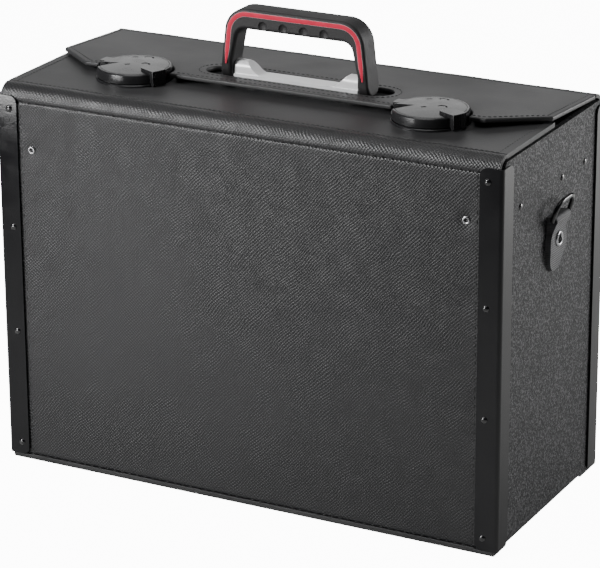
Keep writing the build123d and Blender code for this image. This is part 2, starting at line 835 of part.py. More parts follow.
def strap_ring():
    """The right wire ring, standing up from its bar and leaning outwards."""
    half = ring_width / 2
    corners = ((-half, 0), (half, 0), (half, ring_rise), (-half, ring_rise))
    face = outline(*corners)
    face = fillet([corner(face, half, 0), corner(face, -half, 0)], ring_foot_radius)
    face = fillet([corner(face, half, ring_rise), corner(face, -half, ring_rise)], ring_bow_radius)
    path = (Plane.YZ * face).faces()[0].outer_wire()
    start = path @ 0
    section = Plane(origin=start, z_dir=path % 0) * Circle(ring_wire_radius)
    wire = sweep(section, path=path)
    return Pos(ring_bar_x, 0, ring_bar_height) * Rot(0, ring_tilt, 0) * wire


def both(shape):
    """A right-hand piece with its mirrored left-hand twin."""
    return [mirrored(shape), shape]


def front_and_rear(shapes):
    return list(shapes) + [mirror(shape, Plane.XZ) for shape in shapes]


def pieces():
    front_right = drilled_profile()
    rear_right = mirror(front_right, Plane.XZ)
    tab, ring, panel, rail = strap_tab(), strap_ring(), side_panel(), side_rail()
    knob = latch_knob()
    made = {
        "corner_profile_front_left": mirrored(front_right),
        "corner_profile_front_right": front_right,
        "corner_profile_rear_left": mirrored(rear_right),
        "corner_profile_rear_right": rear_right,
        "profile_rivets": front_and_rear(front_rivets()),
        "front_panel": front_panel(),
        "rear_panel": mirror(end_board(rear_board_top), Plane.XZ),
        "side_panel_left": mirrored(panel),
        "side_panel_right": panel,
        "base_board": base_board(),
        "edge_strip_front": edge_strip(),
        "edge_strip_rear": mirror(edge_strip(), Plane.XZ),
        "side_rail_left": mirrored(rail),
        "side_rail_right": rail,
        "side_rivets": side_rivets() + [mirrored(one) for one in side_rivets()],
        "front_eyelets": both(front_eyelet()),
        "inner_lining": inner_lining(),
        "front_roll": front_roll(),
        "flap_board": flap_board(),
        "rear_roll": rear_roll(),
        "lid_board": lid_board(),
        "handle_front_shell": handle_front_shell(),
        "handle_rear_shell": handle_rear_shell(),
        "handle_stripe_front": stripe_band(stripe_depth),
        "handle_stripe_rear": mirror(stripe_band(stripe_depth), Plane.XZ),
        "handle_screws": handle_screws(),
        "pivot_pin_left": mirrored(pivot_pin()),
        "pivot_pin_right": pivot_pin(),
        "handle_base": handle_base(),
        "base_screws": base_screws(),
        "backing_plate": backing_plate(),
        "strap_tab_left": mirrored(tab),
        "strap_tab_right": tab,
        "tab_eyelets": both(tab_eyelet()),
        "strap_ring_left": mirrored(ring),
        "strap_ring_right": ring,
    }
    for name, x in (("left", -latch_x), ("right", latch_x)):
        made["latch_base_" + name] = latch_base(x)
        made["latch_screws_" + name] = latch_screws(x)
        made["latch_backplate_" + name] = latch_backplate(x)
        made["latch_knob_" + name] = Pos(x, latch_y, 0) * knob
        made["latch_clip_" + name] = latch_clip(x)
        made["latch_washer_" + name] = latch_washer(x)
    return made


def save(name, shape):
    """Write one sub-part: a single solid, or a group of separate solids."""
    parts = shape if isinstance(shape, list) else [shape]
    solids = [solid for part in parts for solid in part.solids()]
    whole = solids[0] if len(solids) == 1 else Compound(children=solids)
    export_step(whole, "parts/" + name + ".step")


os.makedirs("parts", exist_ok=True)
for node, form in pieces().items():
    save(node, form)
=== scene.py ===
import math
import bpy
import bmesh
from mathutils import Matrix, Vector, noise


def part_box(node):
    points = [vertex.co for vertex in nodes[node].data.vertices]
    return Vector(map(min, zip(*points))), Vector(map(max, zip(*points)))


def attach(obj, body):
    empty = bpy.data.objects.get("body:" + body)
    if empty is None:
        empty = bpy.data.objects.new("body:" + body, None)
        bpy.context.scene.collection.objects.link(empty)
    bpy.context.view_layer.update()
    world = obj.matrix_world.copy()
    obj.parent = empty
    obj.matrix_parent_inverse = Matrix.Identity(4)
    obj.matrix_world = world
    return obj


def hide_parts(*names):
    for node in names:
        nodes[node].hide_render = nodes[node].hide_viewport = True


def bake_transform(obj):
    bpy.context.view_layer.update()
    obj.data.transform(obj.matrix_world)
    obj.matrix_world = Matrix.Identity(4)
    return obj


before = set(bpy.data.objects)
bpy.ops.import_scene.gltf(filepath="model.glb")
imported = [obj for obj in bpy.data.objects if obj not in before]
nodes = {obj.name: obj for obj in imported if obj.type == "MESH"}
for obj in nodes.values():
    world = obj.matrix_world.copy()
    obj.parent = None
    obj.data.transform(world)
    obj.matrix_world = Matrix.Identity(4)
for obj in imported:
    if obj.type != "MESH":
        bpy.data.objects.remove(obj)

scene = bpy.context.scene
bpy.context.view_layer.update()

# The camera stands to the right of the case's front and looks down on it a little, where the
# photograph was taken.
camera_place = Vector((1.1296, -2.1418, 1.0504))
camera_azimuth, camera_elevation, camera_roll = (math.radians(a) for a in (27.82, 20.14, -0.34))
camera_pixels = 3068.0
frame_width = 600.0

level = Vector((math.cos(camera_azimuth), math.sin(camera_azimuth), 0.0))
away = Vector((
    math.sin(camera_azimuth) * math.cos(camera_elevation),
    -math.cos(camera_azimuth) * math.cos(camera_elevation),
    math.sin(camera_elevation),
))
upward = away.cross(level)
across = level * math.cos(camera_roll) + upward * math.sin(camera_roll)
upward = away.cross(across)
lens = bpy.data.cameras.new("photograph_view")
lens.sensor_width = 36.0
lens.lens = camera_pixels * lens.sensor_width / frame_width
lens.clip_start, lens.clip_end = 0.1, 50.0
camera = bpy.data.objects.new("photograph_view", lens)
scene.collection.objects.link(camera)
camera.matrix_world = Matrix.Translation(camera_place) @ Matrix((across, upward, away)).transposed().to_4x4()
scene.camera = camera

# The stage is a pale floor under soft studio light. A broad softbox behind the case gives its top
# faces their sheen, a low one in front its leather, and the others light the sides and the handle.
floor_half = 6.0
paper_glow = 12.0


def begin_finish(name, colour, roughness, metallic=0.0, specular=0.5):
    finish = bpy.data.materials.new(name)
    finish.use_nodes = True
    shader = finish.node_tree.nodes["Principled BSDF"]
    shader.inputs["Base Color"].default_value = (*colour, 1.0)
    shader.inputs["Roughness"].default_value = roughness
    shader.inputs["Metallic"].default_value = metallic
    shader.inputs["Specular IOR Level"].default_value = specular
    return finish, finish.node_tree, shader


def put(tree, kind, settings=None, **sockets):
    """Adds a node, with its settings and its sockets' values or links."""
    node = tree.nodes.new(kind)
    for key, value in (settings or {}).items():
        setattr(node, key, value)
    for key, value in sockets.items():
        socket = node.inputs[key.replace("_", " ")]
        if isinstance(value, bpy.types.NodeSocket):
            tree.links.new(value, socket)
        else:
            socket.default_value = value
    return node


def reckon(tree, operation, first, second=0.0):
    """A sum of two values or sockets."""
    node = tree.nodes.new("ShaderNodeMath")
    node.operation = operation
    for socket, value in zip(node.inputs, (first, second)):
        if isinstance(value, bpy.types.NodeSocket):
            tree.links.new(value, socket)
        else:
            socket.default_value = value
    return node.outputs[0]


def shades(tree, factor, low, dark, high, light):
    """A colour that runs from dark to light as the factor goes from low to high."""
    ramp = put(tree, "ShaderNodeValToRGB", Fac=factor)
    first, last = ramp.color_ramp.elements
    first.position, last.position = low, high
    first.color, last.color = (*dark, 1.0), (*light, 1.0)
    return ramp.outputs["Color"]


def tint(tree, shader, factor, dark, light, low=0.3, high=0.7):
    tree.links.new(shades(tree, factor, low, dark, high, light), shader.inputs["Base Color"])


def vary_roughness(tree, shader, factor, low, high, start=0.3, stop=0.7):
    """Runs the roughness from low to high as the factor goes from start to stop."""
    limits = {"From_Min": start, "From_Max": stop, "To_Min": low, "To_Max": high}
    spread = put(tree, "ShaderNodeMapRange", Value=factor, **limits)
    tree.links.new(spread.outputs[0], shader.inputs["Roughness"])


def speckle(tree, place, scale, detail=3.0, roughness=0.55):
    grain = put(tree, "ShaderNodeTexNoise", Vector=place, Scale=scale, Detail=detail, Roughness=roughness)
    return grain.outputs["Fac"]


def raise_by(tree, shader, height, distance, strength=1.0):
    bump = put(tree, "ShaderNodeBump", Height=height, Distance=distance, Strength=strength)
    tree.links.new(bump.outputs["Normal"], shader.inputs["Normal"])


def object_place(tree):
    return put(tree, "ShaderNodeTexCoord").outputs["Object"]


def link_mesh(name, mesh, finish):
    piece = bpy.data.objects.new(name, mesh)
    scene.collection.objects.link(piece)
    mesh.materials.clear()
    mesh.materials.append(finish)
    return piece


def mesh_from(name, vertices, faces, finish, sharp_angle=35.0):
    mesh = bpy.data.meshes.new(name)
    mesh.from_pydata([tuple(v) for v in vertices], [], faces)
    mesh.validate()
    work = bmesh.new()
    work.from_mesh(mesh)
    bmesh.ops.recalc_face_normals(work, faces=work.faces)
    work.to_mesh(mesh)
    work.free()
    mesh.shade_smooth()
    mesh.set_sharp_from_angle(angle=math.radians(sharp_angle))
    return link_mesh(name, mesh, finish)


floor_finish, tree, shader = begin_finish("floor_paper", (0.80, 0.80, 0.79), 0.9, specular=0.1)
paper = speckle(tree, object_place(tree), 6.0)
tint(tree, shader, paper, (0.78, 0.78, 0.77), (0.82, 0.82, 0.81))
straight = put(tree, "ShaderNodeLightPath").outputs["Is Camera Ray"]
glow = put(tree, "ShaderNodeMapRange", Value=straight, To_Max=paper_glow)
shader.inputs["Emission Color"].default_value = (1.0, 1.0, 1.0, 1.0)
tree.links.new(glow.outputs[0], shader.inputs["Emission Strength"])
ends = (-floor_half, floor_half)
floor = mesh_from("floor", [(x, y, 0) for x in ends for y in ends], [(0, 2, 3, 1)], floor_finish)


def softbox(name, place, target, width, height, power, spread=180.0):
    lamp = bpy.data.lights.new(name, "AREA")
    lamp.shape = "RECTANGLE"
    lamp.size, lamp.size_y = width, height
    lamp.energy = power
    lamp.spread = math.radians(spread)
    box = bpy.data.objects.new(name, lamp)
    scene.collection.objects.link(box)
    box.location = place
    box.rotation_euler = (Vector(target) - Vector(place)).to_track_quat("-Z", "Y").to_euler()
    box.visible_camera = False


softbox("softbox_behind", (-1.2, 2.2, 1.25), (0.0, 0.0, 0.33), 2.6, 1.3, 13.0)
softbox("softbox_over", (-0.2, -0.1, 1.9), (0.0, 0.0, 0.33), 1.4, 1.0, 10.0)
softbox("softbox_right", (1.2, 1.1, 0.5), (0.3, 0.1, 0.0), 0.9, 0.6, 24.0)
softbox("softbox_left", (-0.60, -1.00, 0.10), (-0.06, -0.1, 0.31), 0.6, 0.12, 1.0, 80.0)
softbox("softbox_high", (-0.95, -1.15, 0.95), (0.0, 0.0, 0.36), 0.5, 0.5, 5.0, 70.0)

studio = bpy.data.worlds.new("studio")
scene.world = studio
studio.use_nodes = True
tree = studio.node_tree
tree.nodes.clear()
seen = put(tree, "ShaderNodeBackground", Color=(1.0, 1.0, 1.0, 1.0), Strength=15.0)
fill = put(tree, "ShaderNodeBackground", Color=(0.96, 0.98, 1.0, 1.0), Strength=0.035)
either = put(tree, "ShaderNodeMixShader", Fac=put(tree, "ShaderNodeLightPath").outputs["Is Camera Ray"])
tree.links.new(fill.outputs[0], either.inputs[1])
tree.links.new(seen.outputs[0], either.inputs[2])
tree.links.new(either.outputs[0], put(tree, "ShaderNodeOutputWorld").inputs["Surface"])

# The front and rear boards are fibre board covered in black leather, embossed with a fine
# diagonal cross-hatch whose ridges are also painted lighter and grooves darker, a painted shade
# of the emboss. The leather sinks into a dimple round each small eyelet of the front.
board_columns, board_rows = 190, 132
board_wave = 0.00025
dimple_depth, dimple_radius = 0.0012, 0.0065
seam_round = 0.0022
eyelet_x, eyelet_z = 0.198, 0.2806
grain_pitch = 0.0021
grain_height = 0.00009
hatch_shade_in_colour, wear_in_colour = 0.22, 0.35
edge_rows = (0.0003, 0.0008, 0.0015)


def grained_leather():
    finish, tree, shader = begin_finish("grained_leather", (0.020, 0.020, 0.021), 0.46, specular=0.5)
    surface = put(tree, "ShaderNodeUVMap", {"uv_map": "surface"}).outputs["UV"]
    wobble = speckle(tree, surface, 28.0, 2.0)
    heights = []
    for angle, share in ((math.radians(-47.0), 1.0), (math.radians(44.0), 0.8)):
        turned = put(tree, "ShaderNodeMapping", Vector=surface, Rotation=(0.0, 0.0, angle))
        along = put(tree, "ShaderNodeSeparateXYZ", Vector=turned.outputs[0]).outputs["X"]
        wandering = reckon(tree, "ADD", along, reckon(tree, "MULTIPLY", wobble, 0.008))
        wave = reckon(tree, "SINE", reckon(tree, "MULTIPLY", wandering, 2 * math.pi / grain_pitch))
        strength = speckle(tree, turned.outputs[0], 60.0, 2.0)
        depth = reckon(tree, "MULTIPLY", reckon(tree, "ADD", strength, 0.3), share)
        heights.append(reckon(tree, "MULTIPLY", wave, depth))
    hatch = reckon(tree, "ADD", *heights)
    fine = speckle(tree, surface, 900.0, 3.0)
    raise_by(tree, shader, reckon(tree, "ADD", hatch, fine), grain_height)
    worn = speckle(tree, surface, 14.0, 4.0)
    # Painted shade: the hatch's ridges are painted lighter and its grooves darker, added to the random wear
    # tone.
    painted_hatch_shade = reckon(tree, "MULTIPLY", hatch, hatch_shade_in_colour)
    wear_and_hatch_shade = reckon(tree, "ADD", painted_hatch_shade, reckon(tree, "MULTIPLY", worn, wear_in_colour))
    tint(tree, shader, wear_and_hatch_shade, (0.007, 0.007, 0.008), (0.020, 0.020, 0.021), 0.0, 0.5)
    vary_roughness(tree, shader, hatch, 0.44, 0.33, -1.0, 1.0)
    return finish


def unwrap(mesh, spot):
    """Writes the piece's surface map from a function of the vertex's place."""
    layer = mesh.uv_layers.new(name="surface")
    for loop in mesh.loops:
        layer.data[loop.index].uv = spot(mesh.vertices[loop.vertex_index].co)


front_leather = grained_leather()


def leather_board(name, node, side, eyelets):
    """A board with an uneven leather face, as a closed sheet; side is -1 in front and 1 behind."""
    low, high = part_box(node)
    face_y = low.y if side < 0 else high.y
    back_y = high.y if side < 0 else low.y
    vertices, faces = [], []
    tall = high.z - low.z
    levels = {tall * row / board_rows for row in range(board_rows + 1)}
    levels |= {inset for inset in edge_rows} | {tall - inset for inset in edge_rows}
    levels = sorted(levels)
    last_row = len(levels) - 1
    for level_up in levels:
        z = low.z + level_up
        for column in range(board_columns + 1):
            x = low.x + (high.x - low.x) * column / board_columns
            sunk = board_wave * (0.5 + 0.5 * noise.noise(Vector((x * 18, z * 18, 3.0 + side))))
            for eye in eyelets:
                reach = math.hypot(x - eye, z - eyelet_z) / dimple_radius
                sunk += dimple_depth * math.exp(-reach * reach)
            rim = max(0.0, 1.0 - min(high.z - z, z - low.z) / seam_round)
            sunk += 0.5 * seam_round * rim * rim
            vertices.append((x, face_y - side * sunk, z))
    width = board_columns + 1
    for row in range(last_row):
        for column in range(board_columns):
            first = row * width + column
            faces.append((first, first + 1, first + width + 1, first + width))
    rim_loop = list(range(width))
    rim_loop += [row * width + board_columns for row in range(1, last_row + 1)]
    rim_loop += [last_row * width + column for column in range(board_columns - 1, -1, -1)]
    rim_loop += [row * width for row in range(last_row - 1, 0, -1)]
    start = len(vertices)
    vertices += [(vertices[i][0], back_y, vertices[i][2]) for i in rim_loop]
    count = len(rim_loop)
    for i in range(count):
        j = (i + 1) % count
        faces.append((rim_loop[i], start + i, start + j, rim_loop[j]))
    faces.append(tuple(range(start, start + count)))
    board = mesh_from(name, vertices, faces, front_leather)
    unwrap(board.data, lambda v: (v.x, v.z))
    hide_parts(node)
    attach(board, "case_body")


leather_board("front_leather_board", "front_panel", -1, (-eyelet_x, eyelet_x))
leather_board("rear_leather_board", "rear_panel", 1, ())

# The side boards are black moulded board with a granular face that glitters a little. Their cut
# edges are rubbed smooth, so that the top edge shows as a thin bright line.
side_edge = 0.0007


def sparkling_board():
    finish, tree, shader = begin_finish("sparkling_board", (0.05, 0.05, 0.05), 0.55, specular=0.3)
    place = object_place(tree)
    grains = speckle(tree, place, 560.0, 2.0, 0.75)
    crumbs = speckle(tree, place, 1050.0, 1.0, 0.6)
    cloudy = speckle(tree, place, 30.0, 3.0)
    both = reckon(tree, "MULTIPLY", grains, 0.6)
    both = reckon(tree, "ADD", both, reckon(tree, "MULTIPLY", crumbs, 0.35))
    both = reckon(tree, "ADD", both, reckon(tree, "MULTIPLY", cloudy, 0.05))
    tint(tree, shader, both, (0.002, 0.002, 0.003), (0.070, 0.070, 0.073), 0.47, 0.57)
    vary_roughness(tree, shader, grains, 0.65, 0.3, 0.5, 0.66)
    raise_by(tree, shader, both, 0.0009)
    return finish


def dressed_copy(node, name, edge, finish, body, segments=2, sharp_angle=35.0):
    """A copy of a solid whose sharp edges are worn round. It stands for the solid."""
    mesh = nodes[node].data.copy()
    work = bmesh.new()
    work.from_mesh(mesh)
    bmesh.ops.remove_doubles(work, verts=work.verts, dist=1e-6)
    bmesh.ops.dissolve_limit(work, angle_limit=math.radians(0.4), verts=work.verts, edges=work.edges)
    sharp = [e for e in work.edges if e.is_manifold and e.calc_face_angle() > math.radians(sharp_angle)]
    shape = {"segments": segments, "profile": 0.5, "affect": "EDGES", "clamp_overlap": True}
    bmesh.ops.bevel(work, geom=sharp, offset=edge, **shape)
    bmesh.ops.triangulate(work, faces=[f for f in work.faces if len(f.verts) > 4])
    work.to_mesh(mesh)
    work.free()
    mesh.shade_smooth()
    mesh.set_sharp_from_angle(angle=math.radians(sharp_angle))
    piece = link_mesh(name, mesh, finish)
    even = piece.modifiers.new("even_shading", "WEIGHTED_NORMAL")
    even.keep_sharp, even.weight = True, 100
    bpy.context.view_layer.update()
    ready = piece.evaluated_get(bpy.context.evaluated_depsgraph_get())
    piece.data = bpy.data.meshes.new_from_object(ready)
    piece.modifiers.clear()
    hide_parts(node)
    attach(piece, body)
    return piece


side_finish = sparkling_board()
for side in ("left", "right"):
    node = "side_panel_" + side
    dressed_copy(node, "side_board_" + side, side_edge, side_finish, "case_body")

# The base board and the side rails are inside the case. The base is plain black board, and the
# rails are bare aluminium strips behind the rivets of the side boards.


def plain_board():
    finish, tree, shader = begin_finish("plain_board", (0.03, 0.03, 0.032), 0.7)
    fibres = speckle(tree, object_place(tree), 260.0, 5.0, 0.7)
    tint(tree, shader, fibres, (0.018, 0.018, 0.019), (0.045, 0.045, 0.047))
    raise_by(tree, shader, fibres, 0.0002)
    return finish


def drawn_metal(name, colour, roughness, direction):
    """Metal with fine lines left by drawing or turning, along a direction of stretched grain."""
    finish, tree, shader = begin_finish(name, colour, roughness, metallic=1.0)
    stretched = put(tree, "ShaderNodeMapping", Vector=object_place(tree), Scale=direction)
    lines = speckle(tree, stretched.outputs[0], 900.0, 2.0)
    bright = tuple(min(1.0, c * 1.12) for c in colour)
    dim = tuple(c * 0.82 for c in colour)
    tint(tree, shader, lines, dim, bright)
    vary_roughness(tree, shader, lines, roughness - 0.08, roughness + 0.1, 0.0, 1.0)
    raise_by(tree, shader, lines, 0.00003)
    return finish


def dress_node(node, finish):
    mesh = nodes[node].data
    mesh.materials.clear()
    mesh.materials.append(finish)


dress_node("base_board", plain_board())
rail_finish = drawn_metal("mill_aluminium", (0.62, 0.62, 0.63), 0.35, (1.0, 0.03, 1.0))
for side in ("left", "right"):
    dress_node("side_rail_" + side, rail_finish)

# The lining is thin black felted cloth. It is folded into a tray and glued inside the boards, and
# it ends a little below their tops.
lining_edge = 0.0004


def felted_cloth():
    finish, tree, shader = begin_finish("felted_cloth", (0.04, 0.04, 0.045), 0.95, specular=0.2)
    place = object_place(tree)
    fibres = speckle(tree, place, 1500.0, 4.0, 0.7)
    tint(tree, shader, fibres, (0.020, 0.020, 0.023), (0.060, 0.060, 0.066))
    shader.inputs["Sheen Weight"].default_value = 0.4
    shader.inputs["Sheen Roughness"].default_value = 0.5
    raise_by(tree, shader, fibres, 0.0003)
    return finish


dressed_copy("inner_lining", "cloth_lining", lining_edge, felted_cloth(), "case_body")

# The corner profiles are black lacquered angles with rounded ends. They hold the boards together,
# and their rims are slightly broken, so that each shows a fine light line.
profile_rim = 0.0005


def lacquered_profile():
    finish, tree, shader = begin_finish("lacquered_profile", (0.005, 0.005, 0.006), 0.12, specular=0.38)
    place = object_place(tree)
    flow = speckle(tree, place, 60.0, 3.0)
    orange_peel = speckle(tree, place, 650.0, 2.0)
    tint(tree, shader, flow, (0.004, 0.004, 0.005), (0.007, 0.007, 0.008))
    vary_roughness(tree, shader, flow, 0.07, 0.13)
    raise_by(tree, shader, orange_peel, 0.00003)
    return finish


profile_finish = lacquered_profile()
for end in ("front", "rear"):
    for side in ("left", "right"):
        node = f"corner_profile_{end}_{side}"
        name = f"lacquered_angle_{end}_{side}"
        dressed_copy(node, name, profile_rim, profile_finish, "case_body")

# Domed blind rivets hold the boards in the profiles and the rails on the side boards. They are steel
# with the same black lacquer as the profiles, under a clear coat.
rivet_radius, rivet_height = 0.0029, 0.0015
rivet_x, rivet_levels = 0.217, (0.0158, 0.118, 0.2115, 0.3148)
side_rivet_y, side_rivet_z = (-0.0655, 0.0165, 0.0625), 0.2855
flange_y, side_face_x = 0.1035, 0.228


def new_tree(name, inputs):
    """A tree of geometry nodes with named inputs: kind, name and value."""
    tree = bpy.data.node_groups.new(name, "GeometryNodeTree")
    tree.is_modifier = True
    tree.interface.new_socket("Geometry", in_out="INPUT", socket_type="NodeSocketGeometry")
    for kind, label, value in inputs:
        socket = tree.interface.new_socket(label, in_out="INPUT", socket_type=kind)
        if value is not None:
            socket.default_value = value
    tree.interface.new_socket("Geometry", in_out="OUTPUT", socket_type="NodeSocketGeometry")
    return tree, tree.nodes.new("NodeGroupInput"), tree.nodes.new("NodeGroupOutput")


def end_tree(tree, entry, leave, instances):
    """Realizes the instances, smooths them and gives them the finish."""
    solid = tree.nodes.new("GeometryNodeRealizeInstances")
    smooth = tree.nodes.new("GeometryNodeSetShadeSmooth")
    coat = tree.nodes.new("GeometryNodeSetMaterial")
    tree.links.new(instances, solid.inputs["Geometry"])
    tree.links.new(solid.outputs[0], smooth.inputs["Geometry"])
    tree.links.new(smooth.outputs[0], coat.inputs["Geometry"])
    tree.links.new(entry.outputs["Finish"], coat.inputs["Material"])
    tree.links.new(coat.outputs[0], leave.inputs["Geometry"])


def copies_at(tree, points, shape, size, turn):
    copies = put(tree, "GeometryNodeInstanceOnPoints", Points=points, Instance=shape, Scale=size)
    tree.links.new(turn, copies.inputs["Rotation"])
    return copies.outputs[0]


def rivet_tree():
    inputs = (
        ("NodeSocketFloat", "Head radius", rivet_radius),
        ("NodeSocketFloat", "Head height", rivet_height),
        ("NodeSocketVector", "Turn", (0.0, 0.0, 0.0)),
        ("NodeSocketMaterial", "Finish", None),
    )
    tree, entry, leave = new_tree("rivet_heads", inputs)
    head = put(tree, "GeometryNodeMeshUVSphere", Segments=20, Rings=10, Radius=1.0)
    radius, height = entry.outputs["Head radius"], entry.outputs["Head height"]
    size = put(tree, "ShaderNodeCombineXYZ", X=radius, Y=radius, Z=height).outputs[0]
    heads = copies_at(tree, entry.outputs["Geometry"], head.outputs["Mesh"], size, entry.outputs["Turn"])
    end_tree(tree, entry, leave, heads)
    return tree


def grown(name, points, edges, tree, body, finish, values, stands_for=()):
    """Runs a tree on a mesh of points or edges and keeps the result as a plain piece."""
    seed_mesh = bpy.data.meshes.new(name + "_places")
    seed_mesh.from_pydata([tuple(p) for p in points], edges, [])
    seed = bpy.data.objects.new(name + "_places", seed_mesh)
    scene.collection.objects.link(seed)
    modifier = seed.modifiers.new("grow", "NODES")
    modifier.node_group = tree
    for item in tree.interface.items_tree:
        if item.item_type == "SOCKET" and item.in_out == "INPUT" and item.name in values:
            modifier[item.identifier] = values[item.name]
        if item.item_type == "SOCKET" and item.in_out == "INPUT" and item.name == "Finish":
            modifier[item.identifier] = finish
    bpy.context.view_layer.update()
    ready = seed.evaluated_get(bpy.context.evaluated_depsgraph_get())
    mesh = bpy.data.meshes.new_from_object(ready)
    bpy.data.objects.remove(seed)
    piece = link_mesh(name, mesh, finish)
    if stands_for:
        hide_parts(*stands_for)
    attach(piece, body)
    return piece


rivets = rivet_tree()
rivet_finish = lacquered_profile()
rivet_finish.name = "lacquered_rivet"
rivet_finish.node_tree.nodes["Principled BSDF"].inputs["Coat Weight"].default_value = 1.0
quarter = math.pi / 2
for end, sign in (("front", -1), ("rear", 1)):
    places = [(x, sign * flange_y, z) for x in (-rivet_x, rivet_x) for z in rivet_levels]
    turn = {"Turn": (quarter, 0.0, 0.0)}
    name = "rivet_heads_" + end
    grown(name, places, [], rivets, "case_body", rivet_finish, turn, ("profile_rivets",))
for side, sign in (("left", -1), ("right", 1)):
    places = [(sign * side_face_x, y, side_rivet_z) for y in side_rivet_y]
    turn = {"Turn": (0.0, quarter, 0.0)}
    name = "rivet_heads_" + side
    grown(name, places, [], rivets, "case_body", rivet_finish, turn, ("side_rivets",))

# The edging strips are folded leather, sewn on under the front and rear edges. The case stands on
# them.
edging_fold = 0.0007


def edging_leather():
    finish, tree, shader = begin_finish("edging_leather", (0.022, 0.022, 0.023), 0.55)
    place = object_place(tree)
    pores = speckle(tree, place, 700.0, 4.0, 0.65)
    worn = speckle(tree, place, 25.0, 4.0)
    tint(tree, shader, worn, (0.014, 0.014, 0.015), (0.032, 0.032, 0.033))
    raise_by(tree, shader, pores, 0.00018)
    return finish


edging_finish = edging_leather()
for end in ("front", "rear"):
    node = "edge_strip_" + end
    dressed_copy(node, "edging_leather_" + end, edging_fold, edging_finish, "case_body", 3)

# The front roll is the bend of the same embossed leather from the front board up onto the flap.
# It stands a little proud of its seams.
roll_columns, roll_steps = 150, 14
roll_swell = 0.0008
roll_hide = 0.0028
lower_dip, upper_dip = 0.0007, 0.0005
roll_wave = 0.00035


def leather_roll(name, node, side, finish):
    """A bent strip of leather as a closed shell, swept along the case."""
    low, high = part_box(node)
    radius = high.z - low.z
    centre_y = (low.y + radius) if side < 0 else (high.y - radius)
    centre_z = low.z
    loop = []
    for i in range(roll_steps + 1):
        part = i / roll_steps
        swell = roll_swell * math.sin(math.pi * min(1.0, part * 1.15)) ** 0.5 if part < 0.86 else 0.0
        swell -= lower_dip * max(0.0, 1.0 - part * 9)
        swell -= upper_dip * max(0.0, part * 9 - 8)
        loop.append((part, radius + swell))
    for i in range(roll_steps, -1, -1):
        loop.append((i / roll_steps, radius - roll_hide))
    vertices, faces = [], []
    count = len(loop)
    for column in range(roll_columns + 1):
        x = low.x + (high.x - low.x) * column / roll_columns
        for part, reach in loop:
            if reach > radius - roll_hide:
                reach += roll_wave * noise.noise(Vector((x * 25, part * 2.0, 7.0 + side)))
            turn = part * math.pi / 2
            y = centre_y + side * reach * math.cos(turn)
            vertices.append((x, y, centre_z + reach * math.sin(turn)))
    for column in range(roll_columns):
        for i in range(count):
            j = (i + 1) % count
            a, b = column * count, (column + 1) * count
            faces.append((a + i, b + i, b + j, a + j))
    faces.append(tuple(range(count)))
    faces.append(tuple(range(roll_columns * count, roll_columns * count + count)))
    roll = mesh_from(name, vertices, faces, finish, 50.0)

    def round_bend(spot):
        turn = math.atan2(spot.z - centre_z, abs(spot.y - centre_y))
        return (spot.x, centre_z + radius * turn)

    unwrap(roll.data, round_bend)
    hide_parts(node)
    return roll


front_roll = leather_roll("front_leather_roll", "front_roll", -1, front_leather)
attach(front_roll, "case_body")

# The flap is a board in smooth black leather with painted cut edges. It carries the handle and
# the latches, and it lies under the lid.
flap_fold, lid_fold = 0.0012, 0.0016


def smooth_leather(name, dark, light, grain):
    finish, tree, shader = begin_finish(name, dark, 0.5, specular=0.5)
    place = object_place(tree)
    cells = put(tree, "ShaderNodeTexVoronoi", {"feature": "F1"}, Vector=place, Scale=850.0)
    pores = cells.outputs["Distance"]
    creases = speckle(tree, place, 320.0, 5.0, 0.6)
    worn = speckle(tree, place, 9.0, 5.0)
    height = reckon(tree, "ADD", reckon(tree, "MULTIPLY", pores, -0.6), creases)
    raise_by(tree, shader, height, grain)
    tint(tree, shader, worn, dark, light)
    vary_roughness(tree, shader, worn, 0.44, 0.58)
    return finish


flap_leather = smooth_leather("flap_leather", (0.024, 0.024, 0.025), (0.036, 0.036, 0.037), 0.00010)
dressed_copy("flap_board", "leather_flap", flap_fold, flap_leather, "case_body", 3)

# The lid is the same board and leather, cut round the latches and the handle, and hinged on a
# leather bend along the rear edge.
lid_leather = smooth_leather("lid_leather", (0.026, 0.026, 0.027), (0.038, 0.038, 0.039), 0.00009)
dressed_copy("lid_board", "leather_lid", lid_fold, lid_leather, "lid", 3)


def roll_leather():
    finish, tree, shader = begin_finish("roll_leather", (0.024, 0.024, 0.025), 0.5)
    surface = put(tree, "ShaderNodeUVMap", {"uv_map": "surface"}).outputs["UV"]
    creases = speckle(tree, surface, 420.0, 5.0, 0.6)
    worn = speckle(tree, surface, 20.0, 4.0)
    tint(tree, shader, worn, (0.019, 0.019, 0.020), (0.034, 0.034, 0.035))
    raise_by(tree, shader, creases, 0.00012)
    return finish


rear_roll = leather_roll("rear_leather_roll", "rear_roll", 1, roll_leather())
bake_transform(rear_roll)

# The stitching is waxed black thread. Its stitches are small and even, coarser along the boards'
# seams and finer round the flap, the lid and the handle's slot.
coarse_stitch = (0.0073, 0.0030, 0.00050)
fine_stitch = (0.0044, 0.0031, 0.00034)
lid_slope = math.radians(3.7)
lid_hinge_y, lid_hinge_z = 0.0885, 0.3345


